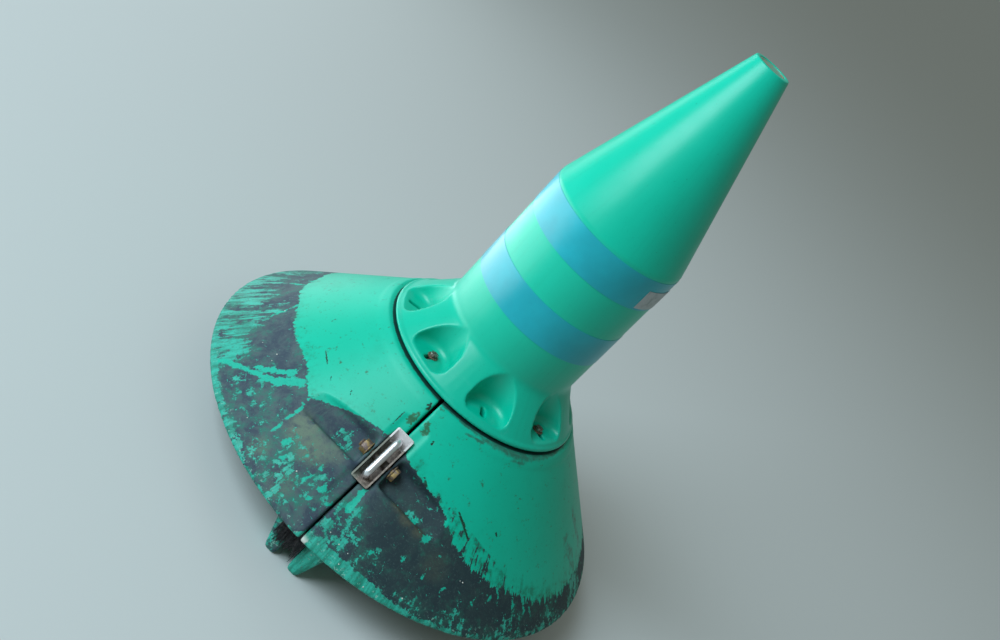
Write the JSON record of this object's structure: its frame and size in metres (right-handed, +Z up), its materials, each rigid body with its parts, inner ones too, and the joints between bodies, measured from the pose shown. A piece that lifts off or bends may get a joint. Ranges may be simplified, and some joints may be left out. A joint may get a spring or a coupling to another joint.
{
  "type": "small conical-hull navigation buoy",
  "caption": "Small green navigation buoy with a two-part conical hull, bolted tapering tower, reflective bands, recessed lifting brackets and a mooring eye underneath.",
  "frame": {"origin": "centre of the footprint, on the ground plane under the four moulded feet", "axes": "+Z up along the buoy's axis, -Y towards the front lifting bracket, the seam between the hull halves in the plane X = 0"},
  "size_m": [1.195, 1.195, 1.439],
  "materials": {
    "hull_plastic": "scuffed moulded polyethylene, green, with dried dark weed growth near the waterline",
    "tower_plastic": "satin moulded polyethylene, green, faded by the sun",
    "band_film": "reflective film, blue-green",
    "label_film": "blank grey film",
    "plug": "weathered brownish plastic",
    "bracket_steel": "stainless steel sheet, stained brown by the sea",
    "bar_steel": "polished stainless steel",
    "rusty_steel": "rusty steel",
    "washer_steel": "stained steel",
    "mooring_steel": "galvanised steel, dull and rust-streaked"
  },
  "bodies": {
    "root": {"hull_left": "hull_plastic", "hull_right": "hull_plastic", "tower": "tower_plastic", "band_lower": "band_film", "band_upper": "band_film", "label": "label_film", "top_plug": "plug", "bracket_front": "bracket_steel", "bracket_back": "bracket_steel", "lift_bar_front": "bar_steel", "lift_bar_back": "bar_steel", "clamp_bolt_front": "rusty_steel", "clamp_bolt_back": "rusty_steel", "clamp_nut_front": "rusty_steel", "clamp_nut_back": "rusty_steel", "clamp_washers_front": "washer_steel", "clamp_washers_back": "washer_steel", "tower_bolts": "rusty_steel", "tower_washers": "washer_steel", "mooring_plate": "mooring_steel", "mooring_bolts": "rusty_steel"}
  },
  "joints": []
}
